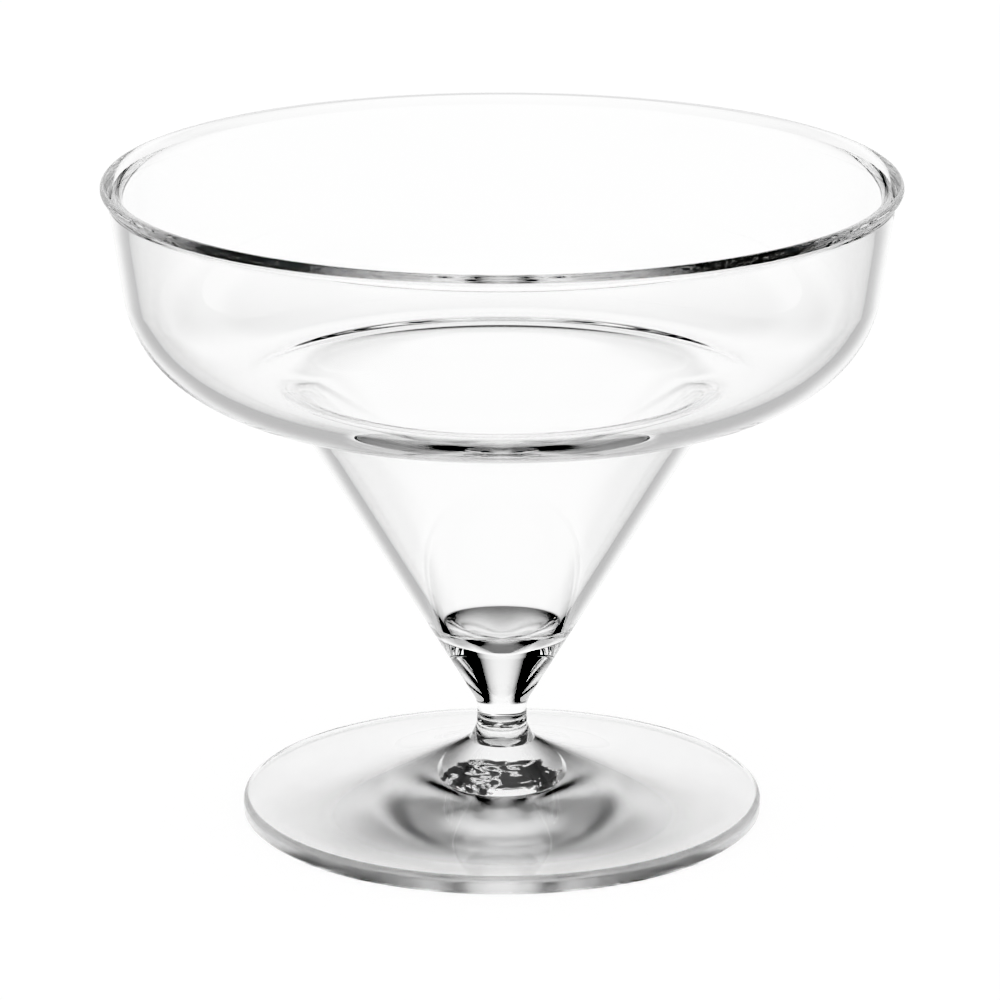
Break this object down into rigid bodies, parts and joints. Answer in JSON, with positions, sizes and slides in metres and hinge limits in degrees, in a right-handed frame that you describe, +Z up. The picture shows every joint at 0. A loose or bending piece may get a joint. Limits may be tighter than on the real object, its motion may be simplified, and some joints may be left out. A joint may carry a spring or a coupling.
{
  "type": "dessert glass",
  "caption": "Clear stemmed dessert glass: wide banded bowl with a rounded shoulder stepping down to a cone, a short solid stem and a round foot.",
  "frame": {"origin": "centre of the foot's standing ring, on the table", "axes": "+Z up along the glass's axis; round about +Z, so X and Y are free"},
  "size_m": [0.12, 0.12, 0.0993],
  "materials": {
    "clear_bowl": "polished clear moulding",
    "clear_foot": "polished clear moulding, a little scuffed"
  },
  "bodies": {
    "root": {"bowl": "clear_bowl", "foot": "clear_foot"}
  },
  "joints": []
}
